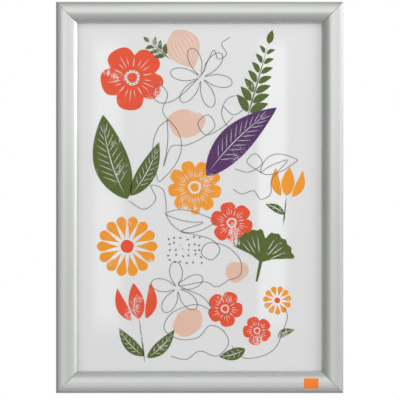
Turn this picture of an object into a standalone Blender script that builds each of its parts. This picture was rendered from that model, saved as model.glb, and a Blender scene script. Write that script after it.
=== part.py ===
"""A front-opening poster frame for an A3 sheet, built as the real one is assembled.

Four mitred aluminium base rails are joined by flat corner keys. They carry a back panel,
the poster and a clear cover sheet. Over each rail lies a cover profile, which swings on a
bead in the rail's hook. Bowed leaf springs between rail and cover hold it shut, or fully
open, over centre.

The frame hangs in the XZ plane, front towards -Y, with the wall at Y = 0. The origin lies
on the wall at the middle of the top rail, on the line of its screw holes.

A profile is drawn in two coordinates. u runs inwards from the frame's outer edge, and v
runs forwards from the wall.
"""
import math

import bmesh
import bpy
from mathutils import Vector

# Sheets that the frame holds
SHEET_WIDTH = 0.297
SHEET_HEIGHT = 0.420
PANEL_THICKNESS = 0.0015
POSTER_THICKNESS = 0.0003
CLEAR_SHEET_THICKNESS = 0.0006

# The whole profile, from the wall and from the outer edge
COVER_FACE = 0.0255
SHEET_OVERLAP = 0.00375
FRAME_DEPTH = 0.0125
MITRE_GAP = 0.0003
CLEARANCE = 0.0003

# Hinge between rail and cover
HINGE_HEIGHT = 0.0074
BEAD_RADIUS = 0.0010
HOOK_WALL = 0.0010
HOOK_TIP_ANGLE = math.radians(108)
EAVE_TIP_ANGLE = math.radians(96.5)

# Base rail
BACK_THICKNESS = 0.0013
OUTER_WALL = 0.0010
OUTER_CHAMFER = 0.0004
RIB_THICKNESS = 0.0012
LIP_REACH = 0.0012
LIP_THICKNESS = 0.0010
LEDGE_WIDTH = 0.0030
SCREW_LINE = 0.0073
SCREW_HOLE_DIAMETER = 0.0050
SCREW_HOLE_SPACING = 0.250

# Corner key
KEY_WIDTH = 0.0069
KEY_THICKNESS = 0.0020
KEY_ARM = 0.034
KEY_CORNER_RADIUS = 0.0015

# Cover profile
SHELL_THICKNESS = 0.0013
EAVE_THICKNESS = 0.0005
CROWN_SHARE = 0.41
FOOT_WIDTH = 0.0016
FOOT_HEIGHT = 0.0005
COVER_WEB = 0.0012
ARM_DROP = 0.0003
ARM_THICKNESS = 0.0010
LEG_LENGTH = 0.0039
LEG_OFFSET = 0.0009
LEG_THICKNESS = 0.0011
CUP_WALL = 0.0005
CUP_FACING = math.radians(103)
CUP_HALF_ANGLE = math.radians(68)

# Leaf springs
SPRING_LENGTH = 0.050
SPRING_THICKNESS = 0.0004
SPRING_BOW = 0.0015
SPRING_SPACING_TOP = 0.124
SPRING_SPACING_SIDE = 0.190
GROOVE_RISE = 0.0009
GROOVE_FLARE = 0.0004
GROOVE_EDGE_ANGLE = math.radians(60)

# Cutters run past what they cut by this much
OVERRUN = 0.0010

# Facets along an arc
FINE_STEP = math.radians(3)
SMALL_STEP = math.radians(15)
SPRING_END_STEP = math.radians(45)
HOLE_SIDES = 32
SPRING_STEPS = 24
KEY_CORNER_SEGMENTS = 4
SHARP_ANGLE = math.radians(21)

# Sizes that follow
FRAME_WIDTH = SHEET_WIDTH + 2 * (COVER_FACE - SHEET_OVERLAP)
FRAME_HEIGHT = SHEET_HEIGHT + 2 * (COVER_FACE - SHEET_OVERLAP)
SHEET_EDGE = COVER_FACE - SHEET_OVERLAP
PANEL_BACK = BACK_THICKNESS + CLEARANCE
POSTER_BACK = PANEL_BACK + PANEL_THICKNESS + CLEARANCE
CLEAR_SHEET_BACK = POSTER_BACK + POSTER_THICKNESS + CLEARANCE
FOOT_BACK = CLEAR_SHEET_BACK + CLEAR_SHEET_THICKNESS + CLEARANCE

STOP_RIB_INNER = SHEET_EDGE - CLEARANCE
STOP_RIB_OUTER = STOP_RIB_INNER - RIB_THICKNESS
SPRING_RIB_INNER = STOP_RIB_OUTER - KEY_WIDTH - 2 * CLEARANCE
SPRING_RIB_OUTER = SPRING_RIB_INNER - RIB_THICKNESS
KEY_BACK = BACK_THICKNESS + CLEARANCE
LIP_BACK = KEY_BACK + KEY_THICKNESS + CLEARANCE
RIB_TOP = LIP_BACK + LIP_THICKNESS

SOCKET_RADIUS = BEAD_RADIUS + CLEARANCE
HOOK_RADIUS = SOCKET_RADIUS + HOOK_WALL
POCKET_RADIUS = HOOK_RADIUS + CLEARANCE
EAVE_RADIUS = POCKET_RADIUS + EAVE_THICKNESS
HINGE_INSET = HOOK_RADIUS
COVER_WEB_OUTER = HINGE_INSET + POCKET_RADIUS + CLEARANCE
COVER_WEB_INNER = COVER_WEB_OUTER + COVER_WEB
LEG_MIDDLE = HINGE_INSET + LEG_OFFSET
LEG_OUTER = LEG_MIDDLE - LEG_THICKNESS / 2
LEG_INNER = LEG_MIDDLE + LEG_THICKNESS / 2
ARM_FRONT = HINGE_HEIGHT - ARM_DROP
ARM_BACK = ARM_FRONT - ARM_THICKNESS

GROOVE_RADIUS = SPRING_THICKNESS / 2 + CLEARANCE
RAIL_GROOVE = (SPRING_RIB_OUTER, BACK_THICKNESS + GROOVE_RISE)
LEG_CUP = (LEG_MIDDLE, HINGE_HEIGHT - LEG_LENGTH)
CUP_RADIUS = GROOVE_RADIUS + CUP_WALL
LEG_SWING = math.hypot(LEG_OFFSET, LEG_LENGTH) + CUP_RADIUS
END_SETBACK = HINGE_INSET + LEG_SWING + CLEARANCE

# Each side: the angle that turns the top side into it, its length and the distance
# from the frame's centre to its outer edge
SIDES = {
    "top": (0.0, FRAME_WIDTH, FRAME_HEIGHT / 2),
    "right": (math.pi / 2, FRAME_HEIGHT, FRAME_WIDTH / 2),
    "bottom": (math.pi, FRAME_WIDTH, FRAME_HEIGHT / 2),
    "left": (-math.pi / 2, FRAME_HEIGHT, FRAME_WIDTH / 2),
}
FRAME_CENTRE = Vector((0, 0, SCREW_LINE - FRAME_HEIGHT / 2))


def clear_scene():
    for old in list(bpy.data.objects):
        bpy.data.objects.remove(old, do_unlink=True)


def material(name, colour, metallic, roughness, alpha=1.0):
    made = bpy.data.materials.new(name)
    made.use_nodes = True
    shader = made.node_tree.nodes["Principled BSDF"]
    shader.inputs["Base Color"].default_value = (*colour, 1)
    shader.inputs["Metallic"].default_value = metallic
    shader.inputs["Roughness"].default_value = roughness
    shader.inputs["Alpha"].default_value = alpha
    return made


def arc(centre, radius, start, end, step):
    """Points on a circle in the u, v plane, from one angle to another, both included."""
    count = max(1, math.ceil(abs(end - start) / step))
    points = []
    for index in range(count + 1):
        angle = start + (end - start) * index / count
        points.append((centre[0] + radius * math.cos(angle), centre[1] + radius * math.sin(angle)))
    return points


def crown_circle(crown, edge):
    """Centre and radius of the circle that is level at the crown and passes through the edge."""
    across = crown[0] - edge[0]
    drop = crown[1] - edge[1]
    radius = (across ** 2 + drop ** 2) / (2 * drop)
    return (crown[0], crown[1] - radius), radius


def angle_at(centre, radius, u):
    """Angle of the front point of a circle that lies at a given u."""
    return math.acos((u - centre[0]) / radius)


def rail_profile():
    """Outline of the base rail, counterclockwise from its outer back edge."""
    hinge = (HINGE_INSET, HINGE_HEIGHT)
    mouth = (SPRING_RIB_OUTER, RAIL_GROOVE[1] + GROOVE_RADIUS + GROOVE_FLARE)
    groove = [mouth] + arc(RAIL_GROOVE, GROOVE_RADIUS, GROOVE_EDGE_ANGLE, -math.pi / 2, SMALL_STEP)
    points = [(OUTER_CHAMFER, 0), (SHEET_EDGE + LEDGE_WIDTH, 0)]
    points += [(SHEET_EDGE + LEDGE_WIDTH, BACK_THICKNESS), (STOP_RIB_INNER, BACK_THICKNESS)]
    points += [(STOP_RIB_INNER, RIB_TOP), (STOP_RIB_OUTER - LIP_REACH, RIB_TOP)]
    points += [(STOP_RIB_OUTER - LIP_REACH, LIP_BACK), (STOP_RIB_OUTER, LIP_BACK)]
    points += [(STOP_RIB_OUTER, BACK_THICKNESS), (SPRING_RIB_INNER, BACK_THICKNESS)]
    points += [(SPRING_RIB_INNER, LIP_BACK), (SPRING_RIB_INNER + LIP_REACH, LIP_BACK)]
    points += [(SPRING_RIB_INNER + LIP_REACH, RIB_TOP), (SPRING_RIB_OUTER, RIB_TOP)]
    points += groove
    points += [(SPRING_RIB_OUTER, BACK_THICKNESS), (OUTER_WALL, BACK_THICKNESS)]
    points += arc(hinge, SOCKET_RADIUS, math.pi, HOOK_TIP_ANGLE, SMALL_STEP)
    points += arc(hinge, HOOK_RADIUS, HOOK_TIP_ANGLE, math.pi, SMALL_STEP)
    points += [(0, OUTER_CHAMFER)]
    return points


def cover_profile():
    """Outline of the snap cover when it is shut, counterclockwise from its foot."""
    hinge = (HINGE_INSET, HINGE_HEIGHT)
    crown = (CROWN_SHARE * COVER_FACE, FRAME_DEPTH)
    eave_tip = (
        HINGE_INSET + EAVE_RADIUS * math.cos(EAVE_TIP_ANGLE),
        HINGE_HEIGHT + EAVE_RADIUS * math.sin(EAVE_TIP_ANGLE),
    )
    foot_top = (COVER_FACE, FOOT_BACK + FOOT_HEIGHT)
    inner_centre, inner_radius = crown_circle(crown, foot_top)
    outer_centre, outer_radius = crown_circle(crown, eave_tip)
    inner_shell = inner_radius - SHELL_THICKNESS
    outer_shell = outer_radius - SHELL_THICKNESS
    level = math.pi / 2
    foot_angle = angle_at(inner_centre, inner_radius, COVER_FACE)
    eave_angle = angle_at(outer_centre, outer_radius, eave_tip[0])

    points = [(COVER_FACE, FOOT_BACK)]
    points += arc(inner_centre, inner_radius, foot_angle, level, FINE_STEP)
    points += arc(outer_centre, outer_radius, level, eave_angle, FINE_STEP)[1:]
    pocket_end = pocket_end_angle(outer_centre, outer_shell)
    points += arc(hinge, POCKET_RADIUS, EAVE_TIP_ANGLE, pocket_end, SMALL_STEP)
    web_top = angle_at(outer_centre, outer_shell, COVER_WEB_OUTER)
    points += [shell_point(outer_centre, outer_shell, web_top)]
    points += [(COVER_WEB_OUTER, ARM_FRONT)]
    bead_start = -math.asin(ARM_DROP / BEAD_RADIUS)
    bead_end = 2 * math.pi - math.acos((LEG_OUTER - HINGE_INSET) / BEAD_RADIUS)
    points += arc(hinge, BEAD_RADIUS, bead_start, bead_end, SMALL_STEP)
    neck = math.acos(LEG_THICKNESS / 2 / CUP_RADIUS)
    cup_outer = CUP_FACING + CUP_HALF_ANGLE
    cup_inner = CUP_FACING - CUP_HALF_ANGLE
    points += arc(LEG_CUP, CUP_RADIUS, math.pi - neck, cup_outer, SMALL_STEP)
    points += arc(LEG_CUP, GROOVE_RADIUS, cup_outer, cup_inner, SMALL_STEP)
    points += arc(LEG_CUP, CUP_RADIUS, cup_inner, neck, SMALL_STEP)
    points += [(LEG_INNER, ARM_BACK), (COVER_WEB_INNER, ARM_BACK)]
    web_side = angle_at(outer_centre, outer_shell, COVER_WEB_INNER)
    points += arc(outer_centre, outer_shell, web_side, level, FINE_STEP)
    foot_side = angle_at(inner_centre, inner_shell, COVER_FACE - FOOT_WIDTH)
    points += arc(inner_centre, inner_shell, level, foot_side, FINE_STEP)[1:]
    points += [(COVER_FACE - FOOT_WIDTH, FOOT_BACK)]
    return points


def shell_point(centre, radius, angle):
    return (centre[0] + radius * math.cos(angle), centre[1] + radius * math.sin(angle))


def pocket_end_angle(shell_centre, shell_radius):
    """Angle about the hinge where the hook's pocket meets the inside of the shell."""
    across = shell_centre[0] - HINGE_INSET
    along = shell_centre[1] - HINGE_HEIGHT
    distance = math.hypot(across, along)
    spread = (distance ** 2 + POCKET_RADIUS ** 2 - shell_radius ** 2) / (2 * distance * POCKET_RADIUS)
    return math.atan2(along, across) + math.acos(spread)


def spring_profile():
    """Outline of a bowed leaf spring from its groove in the rail, which is the origin.

    Its middle line is one smooth wave that leaves both grooves along the straight between
    them, so that the ends can turn in their grooves.
    """
    reach = Vector((LEG_CUP[0] - RAIL_GROOVE[0], LEG_CUP[1] - RAIL_GROOVE[1]))
    along = reach.normalized()
    front = Vector((along.y, -along.x))
    half = SPRING_THICKNESS / 2
    upper = []
    lower = []
    for index in range(SPRING_STEPS + 1):
        share = index / SPRING_STEPS
        turn = 2 * math.pi * share
        slope = SPRING_BOW * math.pi * math.sin(turn) / reach.length
        normal = (front - along * slope).normalized()
        middle = reach * share + front * SPRING_BOW * (1 - math.cos(turn)) / 2
        upper.append(middle + normal * half)
        lower.append(middle - normal * half)
    leg_side = math.atan2(front.y, front.x)
    leg_end = arc(reach, half, leg_side, leg_side + math.pi, SPRING_END_STEP)[1:-1]
    rail_end = arc((0, 0), half, leg_side + math.pi, leg_side + 2 * math.pi, SPRING_END_STEP)[1:-1]
    front_line = [tuple(point) for point in upper]
    back_line = [tuple(point) for point in reversed(lower)]
    return front_line + leg_end + back_line + rail_end


def add_object(name, mesh, parent, place=(0, 0, 0), look=None):
    made = bpy.data.objects.new(name, mesh)
    bpy.context.scene.collection.objects.link(made)
    made.parent = parent
    made.location = place
    if look:
        mesh.materials.append(look)
    return made


def prism(name, profile, origin, half_length):
    """Run a profile along X. half_length gives where it ends for each u.

    The mesh lies with the wall behind it at +Y and the frame's outside at +Z, and its
    origin is the profile point that origin names.
    """
    shape = bmesh.new()
    ends = []
    for side in (-1, 1):
        row = [shape.verts.new((side * half_length(u), origin[1] - v, origin[0] - u)) for u, v in profile]
        ends.append(row)
    low, high = ends
    shape.faces.new(low)
    shape.faces.new(reversed(high))
    count = len(profile)
    for index in range(count):
        after = (index + 1) % count
        shape.faces.new((low[after], low[index], high[index], high[after]))
    bmesh.ops.recalc_face_normals(shape, faces=shape.faces)
    mesh = bpy.data.meshes.new(name)
    shape.to_mesh(mesh)
    shape.free()
    mesh.shade_smooth()
    mesh.set_sharp_from_angle(angle=SHARP_ANGLE)
    return mesh


def block(name, low, high):
    shape = bmesh.new()
    bmesh.ops.create_cube(shape, size=1)
    low = Vector(low)
    high = Vector(high)
    for vertex in shape.verts:
        share = vertex.co + Vector((0.5, 0.5, 0.5))
        vertex.co = low + Vector(a * b for a, b in zip(share, high - low))
    mesh = bpy.data.meshes.new(name)
    shape.to_mesh(mesh)
    shape.free()
    return mesh


def cut(target, cutter):
    cutter.hide_render = True
    cutter.display_type = "WIRE"
    boolean = target.modifiers.new("cut " + cutter.name, "BOOLEAN")
    boolean.operation = "DIFFERENCE"
    boolean.solver = "EXACT"
    boolean.object = cutter


def mitred(length):
    """Half length of a mitred profile at a distance u from the frame's outer edge."""
    return lambda u: length / 2 - u - MITRE_GAP


def straight(length):
    return lambda u: length / 2


def screw_hole(side, x):
    shape = bmesh.new()
    bmesh.ops.create_cone(
        shape,
        cap_ends=True,
        segments=HOLE_SIDES,
        radius1=SCREW_HOLE_DIAMETER / 2,
        radius2=SCREW_HOLE_DIAMETER / 2,
        depth=BACK_THICKNESS + 2 * OVERRUN,
    )
    mesh = bpy.data.meshes.new("screw_hole_cutter")
    shape.to_mesh(mesh)
    shape.free()
    cutter = add_object("screw_hole_cutter", mesh, side, (x, -BACK_THICKNESS / 2, -SCREW_LINE))
    cutter.rotation_euler = (math.pi / 2, 0, 0)
    return cutter


def end_cutter(side, length, way):
    """Cuts the hinge bead, arm and leg square near a mitre, clear of the next cover's."""
    start = way * (length / 2 - END_SETBACK)
    end = way * (length / 2 + OVERRUN)
    front = HINGE_HEIGHT + BEAD_RADIUS + CLEARANCE
    back = LEG_CUP[1] - CUP_RADIUS - OVERRUN
    low = (min(start, end), -front, -(COVER_WEB_INNER + OVERRUN))
    high = (max(start, end), -back, 0)
    return add_object("end_cutter", block("end_cutter", low, high), side)


def build_side(name, looks):
    turn, length, reach = SIDES[name]
    side = bpy.data.objects.new("side_" + name, None)
    bpy.context.scene.collection.objects.link(side)
    side.rotation_euler = (0, turn, 0)
    side.location = FRAME_CENTRE + Vector((math.sin(turn), 0, math.cos(turn))) * reach

    rail_mesh = prism("base_rail_" + name, rail_profile(), (0, 0), mitred(length))
    rail = add_object("base_rail_" + name, rail_mesh, side, look=looks["rail"])
    if name in ("top", "bottom"):
        for way in (-1, 1):
            cut(rail, screw_hole(side, way * SCREW_HOLE_SPACING / 2))

    hinge = (HINGE_INSET, HINGE_HEIGHT)
    cover_mesh = prism("snap_cover_" + name, cover_profile(), hinge, mitred(length))
    cover_place = (0, -HINGE_HEIGHT, -HINGE_INSET)
    cover = add_object("snap_cover_" + name, cover_mesh, side, cover_place, looks["cover"])
    for way in (-1, 1):
        cut(cover, end_cutter(side, length, way))

    spacing = SPRING_SPACING_TOP if name in ("top", "bottom") else SPRING_SPACING_SIDE
    for number, way in ((1, -1), (2, 1)):
        spring = "leaf_spring_" + name + "_" + str(number)
        mesh = prism(spring, spring_profile(), (0, 0), straight(SPRING_LENGTH))
        place = (way * spacing / 2, -RAIL_GROOVE[1], -RAIL_GROOVE[0])
        add_object(spring, mesh, side, place, looks["spring"])


def build_corner_key(name, turn, corner, look):
    """A flat L with rounded ends, its outer corner placed in the rails' channels."""
    inset = SPRING_RIB_INNER + CLEARANCE
    outline = [(0, 0), (-KEY_ARM, 0), (-KEY_ARM, -KEY_WIDTH), (-KEY_WIDTH, -KEY_WIDTH)]
    outline += [(-KEY_WIDTH, -KEY_ARM), (0, -KEY_ARM)]
    shape = bmesh.new()
    base = shape.faces.new([shape.verts.new((x, 0, z)) for x, z in outline])
    pulled = bmesh.ops.extrude_face_region(shape, geom=[base])
    front = [item for item in pulled["geom"] if isinstance(item, bmesh.types.BMVert)]
    bmesh.ops.translate(shape, verts=front, vec=(0, -KEY_THICKNESS, 0))
    bmesh.ops.recalc_face_normals(shape, faces=shape.faces)
    ends = [edge for edge in shape.edges if is_key_end(edge)]
    bmesh.ops.bevel(
        shape,
        geom=ends,
        offset=KEY_CORNER_RADIUS,
        offset_type="OFFSET",
        segments=KEY_CORNER_SEGMENTS,
        profile=0.5,
        affect="EDGES",
    )
    mesh = bpy.data.meshes.new(name)
    shape.to_mesh(mesh)
    shape.free()
    key = add_object(name, mesh, None, look=look)
    key.rotation_euler = (0, turn, 0)
    out_x, out_z = corner
    key.location = FRAME_CENTRE + Vector(
        (out_x * (FRAME_WIDTH / 2 - inset), -KEY_BACK, out_z * (FRAME_HEIGHT / 2 - inset))
    )


def is_key_end(edge):
    """True for the upright edges at the outer corner and at the ends of the key's arms."""
    first, second = (vertex.co for vertex in edge.verts)
    along = second - first
    upright = abs(along.y) > max(abs(along.x), abs(along.z))
    at_corner_line = math.isclose(first.x, first.z, abs_tol=KEY_CORNER_RADIUS)
    inner_corner = at_corner_line and first.x < -KEY_CORNER_RADIUS
    return upright and not inner_corner


def build_sheet(name, back, thickness, look):
    half = Vector((SHEET_WIDTH / 2, 0, SHEET_HEIGHT / 2))
    low = -half - Vector((0, thickness, 0))
    sheet = add_object(name, block(name, low, half), None, look=look)
    sheet.location = FRAME_CENTRE - Vector((0, back, 0))


def main():
    clear_scene()
    looks = {
        "rail": material("mill_aluminium", (0.62, 0.63, 0.64), 1.0, 0.42),
        "cover": material("satin_aluminium", (0.72, 0.73, 0.74), 1.0, 0.36),
        "spring": material("spring_steel", (0.40, 0.40, 0.41), 1.0, 0.30),
        "key": material("zinc_plated_steel", (0.55, 0.56, 0.58), 1.0, 0.38),
    }
    for name in SIDES:
        build_side(name, looks)
    corners = {
        "top_right": (0.0, (1, 1)),
        "bottom_right": (math.pi / 2, (1, -1)),
        "bottom_left": (math.pi, (-1, -1)),
        "top_left": (-math.pi / 2, (-1, 1)),
    }
    for name, (turn, corner) in corners.items():
        build_corner_key("corner_key_" + name, turn, corner, looks["key"])
    panel = material("white_polystyrene", (0.80, 0.80, 0.79), 0.0, 0.55)
    paper = material("printed_paper", (0.82, 0.81, 0.80), 0.0, 0.80)
    clear = material("clear_matt_pvc", (0.95, 0.96, 0.97), 0.0, 0.30, alpha=0.25)
    build_sheet("back_panel", PANEL_BACK, PANEL_THICKNESS, panel)
    build_sheet("poster", POSTER_BACK, POSTER_THICKNESS, paper)
    build_sheet("cover_sheet", CLEAR_SHEET_BACK, CLEAR_SHEET_THICKNESS, clear)


main()
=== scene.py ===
"""A front-opening A3 poster frame in satin anodised aluminium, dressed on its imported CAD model.

The covers, base rails and springs are rebuilt as finer profiles that ride on the same
bodies. The poster carries a plain botanical screen print made from outlines, under a matt
clear sheet. Sizes are in metres and repeat those of the CAD model. A profile is drawn in u,
inwards from the frame's outer edge, and v, forwards from the wall.
"""
import math
import random

import bmesh
import bpy
from mathutils import Matrix, Vector

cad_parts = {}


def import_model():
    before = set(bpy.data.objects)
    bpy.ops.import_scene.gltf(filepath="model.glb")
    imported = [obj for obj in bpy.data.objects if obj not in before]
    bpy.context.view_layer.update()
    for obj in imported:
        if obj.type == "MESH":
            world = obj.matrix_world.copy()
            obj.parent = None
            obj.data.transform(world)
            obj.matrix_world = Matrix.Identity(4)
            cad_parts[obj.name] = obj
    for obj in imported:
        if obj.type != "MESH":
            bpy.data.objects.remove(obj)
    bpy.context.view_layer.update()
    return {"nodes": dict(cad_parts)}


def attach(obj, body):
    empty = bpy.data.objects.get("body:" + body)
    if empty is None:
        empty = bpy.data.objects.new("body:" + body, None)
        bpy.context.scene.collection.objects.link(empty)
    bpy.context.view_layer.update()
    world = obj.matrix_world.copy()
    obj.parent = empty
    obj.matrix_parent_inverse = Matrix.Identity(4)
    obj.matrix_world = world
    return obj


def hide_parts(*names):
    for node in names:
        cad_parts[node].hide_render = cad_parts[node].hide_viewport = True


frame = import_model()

MM = 0.001

# Sheets: their size and how far in front of the wall they lie
SHEET_WIDTH = 0.297
SHEET_HEIGHT = 0.420
POSTER_FRONT = 0.0037
CLEAR_BACK = 0.0040
CLEAR_THICKNESS = 0.0006
CLEAR_BOW = 0.00012
SHEET_ROWS = 84
SHEET_COLUMNS = 60

# Profile of rail and cover
COVER_FACE = 0.0255
SHEET_OVERLAP = 0.00375
CROWN_HEIGHT = 0.0124
CROWN_SHARE = 0.41
COVER_GAP = 0.0003
RAIL_GAP = 0.00007
CLEARANCE = 0.0003
HINGE_HEIGHT = 0.0074
HOOK_TIP_ANGLE = math.radians(108)
EAVE_TIP_ANGLE = math.radians(96.5)
EAVE_THICKNESS = 0.0005
BACK_THICKNESS = 0.0013
OUTER_WALL = 0.0010
OUTER_CHAMFER = 0.0004
RIB_THICKNESS = 0.0012
RIB_TOP = 0.0049
SPRING_RIB_INNER = 0.01275
LIP_REACH = 0.0012
LIP_BACK = 0.0039
LEDGE_WIDTH = 0.0030
SCREW_LINE = 0.0073
SCREW_HOLE_RADIUS = 0.0025
SCREW_HOLE_SPACING = 0.250
SHELL_THICKNESS = 0.0013
FOOT_WIDTH = 0.0016
FOOT_HEIGHT = 0.0005
FOOT_BACK = 0.0049
COVER_WEB = 0.0012
ARM_DROP = 0.0003
ARM_THICKNESS = 0.0010
BEAD_RADIUS = 0.0010
LEG_LENGTH = 0.0039
LEG_OFFSET = 0.0009
LEG_THICKNESS = 0.0011
CUP_FACING = math.radians(103)
CUP_HALF_ANGLE = math.radians(68)
CUP_WALL = 0.0005

# Leaf springs
SPRING_LENGTH = 0.050
SPRING_THICKNESS = 0.0004
SPRING_BOW = 0.0015
SPRING_SPACING_TOP = 0.124
SPRING_SPACING_SIDE = 0.190
SPRING_CORNER = 0.0016
SPRING_ROWS = 36
SPRING_COLUMNS = 16
GROOVE_RISE = 0.0009
GROOVE_FLARE = 0.0004
GROOVE_EDGE_ANGLE = math.radians(60)

# Orange plate on the bottom cover
PLATE_MIDDLE = 0.1318
PLATE_WIDTH = 0.0172
PLATE_OUTER = 0.0058
PLATE_INNER = 0.0178
PLATE_CORNER = 0.0007
PLATE_RISE = 0.00009
PLATE_STEPS = 28

# Sizes that follow
SHEET_EDGE = COVER_FACE - SHEET_OVERLAP
FRAME_WIDTH = SHEET_WIDTH + 2 * SHEET_EDGE
FRAME_HEIGHT = SHEET_HEIGHT + 2 * SHEET_EDGE
CENTRE = Vector((0, 0, SCREW_LINE - FRAME_HEIGHT / 2))
SOCKET_RADIUS = BEAD_RADIUS + CLEARANCE
HOOK_RADIUS = SOCKET_RADIUS + OUTER_WALL
POCKET_RADIUS = HOOK_RADIUS + CLEARANCE
EAVE_RADIUS = POCKET_RADIUS + EAVE_THICKNESS
HINGE = (HOOK_RADIUS, HINGE_HEIGHT)
STOP_RIB_INNER = SHEET_EDGE - CLEARANCE
STOP_RIB_OUTER = STOP_RIB_INNER - RIB_THICKNESS
SPRING_RIB_OUTER = SPRING_RIB_INNER - RIB_THICKNESS
GROOVE_RADIUS = SPRING_THICKNESS / 2 + CLEARANCE
RAIL_GROOVE = (SPRING_RIB_OUTER, BACK_THICKNESS + GROOVE_RISE)
LEG_CUP = (HINGE[0] + LEG_OFFSET, HINGE_HEIGHT - LEG_LENGTH)
CUP_RADIUS = GROOVE_RADIUS + CUP_WALL
COVER_WEB_OUTER = HINGE[0] + POCKET_RADIUS + CLEARANCE
COVER_WEB_INNER = COVER_WEB_OUTER + COVER_WEB
LEG_SWING = math.hypot(LEG_OFFSET, LEG_LENGTH) + CUP_RADIUS
END_SETBACK = HINGE[0] + LEG_SWING + CLEARANCE

# Each side: its turn about Y, outer length, distance from the middle, and spacing of its springs
SIDES = {
    "top": (0.0, FRAME_WIDTH, FRAME_HEIGHT / 2, SPRING_SPACING_TOP),
    "right": (math.pi / 2, FRAME_HEIGHT, FRAME_WIDTH / 2, SPRING_SPACING_SIDE),
    "bottom": (math.pi, FRAME_WIDTH, FRAME_HEIGHT / 2, SPRING_SPACING_TOP),
    "left": (-math.pi / 2, FRAME_HEIGHT, FRAME_WIDTH / 2, SPRING_SPACING_SIDE),
}

# Fineness of the meshes
WIDE_STEP = math.radians(1.5)
SMALL_STEP = math.radians(7.5)
SHARP_ANGLE = math.radians(35)
ROUNDED_TURN = SHARP_ANGLE * 0.7
CORNER_STEPS = 4
CORNER_SHARE = 0.45
EDGE_ROUND = 0.00014
FOOT_ROUND = 0.00035
FOOT_CORNER = 1
END_BEVEL = 0.00005
CUTTER_OVER = 0.001
HOLE_FACETS = 48


# Outlines of the profiles

def polar(radius, angle, centre=(0, 0)):
    """The point at a distance and an angle from a centre."""
    return centre[0] + radius * math.cos(angle), centre[1] + radius * math.sin(angle)


def arc(centre, radius, start, end, step):
    """Points round a centre, no more than a step apart."""
    count = max(1, math.ceil(abs(end - start) / step))
    return [polar(radius, start + (end - start) * index / count, centre) for index in range(count + 1)]


def crown_circle(crown, edge):
    """Centre and radius of the circle that is level at the crown and passes through the edge."""
    across = crown[0] - edge[0]
    drop = crown[1] - edge[1]
    radius = (across ** 2 + drop ** 2) / (2 * drop)
    return (crown[0], crown[1] - radius), radius


def angle_at(centre, radius, u):
    """The angle at which a circle passes u, on its front half."""
    return math.acos((u - centre[0]) / radius)


def cover_circles():
    """Centre and radius of the face's inner and outer circle, and the tip of the eave."""
    crown = (CROWN_SHARE * COVER_FACE, CROWN_HEIGHT)
    tip = polar(EAVE_RADIUS, EAVE_TIP_ANGLE, HINGE)
    return crown_circle(crown, (COVER_FACE, FOOT_BACK + FOOT_HEIGHT)), crown_circle(crown, tip), tip


def rail_profile():
    """Outline of the base rail, counterclockwise from its outer back edge."""
    ledge = SHEET_EDGE + LEDGE_WIDTH
    stop_lip = STOP_RIB_OUTER - LIP_REACH
    spring_lip = SPRING_RIB_INNER + LIP_REACH
    points = [
        (OUTER_CHAMFER, 0),
        (ledge, 0),
        (ledge, BACK_THICKNESS),
        (STOP_RIB_INNER, BACK_THICKNESS),
        (STOP_RIB_INNER, RIB_TOP),
        (stop_lip, RIB_TOP),
        (stop_lip, LIP_BACK),
        (STOP_RIB_OUTER, LIP_BACK),
        (STOP_RIB_OUTER, BACK_THICKNESS),
        (SPRING_RIB_INNER, BACK_THICKNESS),
        (SPRING_RIB_INNER, LIP_BACK),
        (spring_lip, LIP_BACK),
        (spring_lip, RIB_TOP),
        (SPRING_RIB_OUTER, RIB_TOP),
        (SPRING_RIB_OUTER, RAIL_GROOVE[1] + GROOVE_RADIUS + GROOVE_FLARE),
    ]
    points += arc(RAIL_GROOVE, GROOVE_RADIUS, GROOVE_EDGE_ANGLE, -math.pi / 2, SMALL_STEP)
    points += [(SPRING_RIB_OUTER, BACK_THICKNESS), (OUTER_WALL, BACK_THICKNESS)]
    points += arc(HINGE, SOCKET_RADIUS, math.pi, HOOK_TIP_ANGLE, SMALL_STEP)
    points += arc(HINGE, HOOK_RADIUS, HOOK_TIP_ANGLE, math.pi, SMALL_STEP)
    return points + [(0, OUTER_CHAMFER)]


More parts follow.
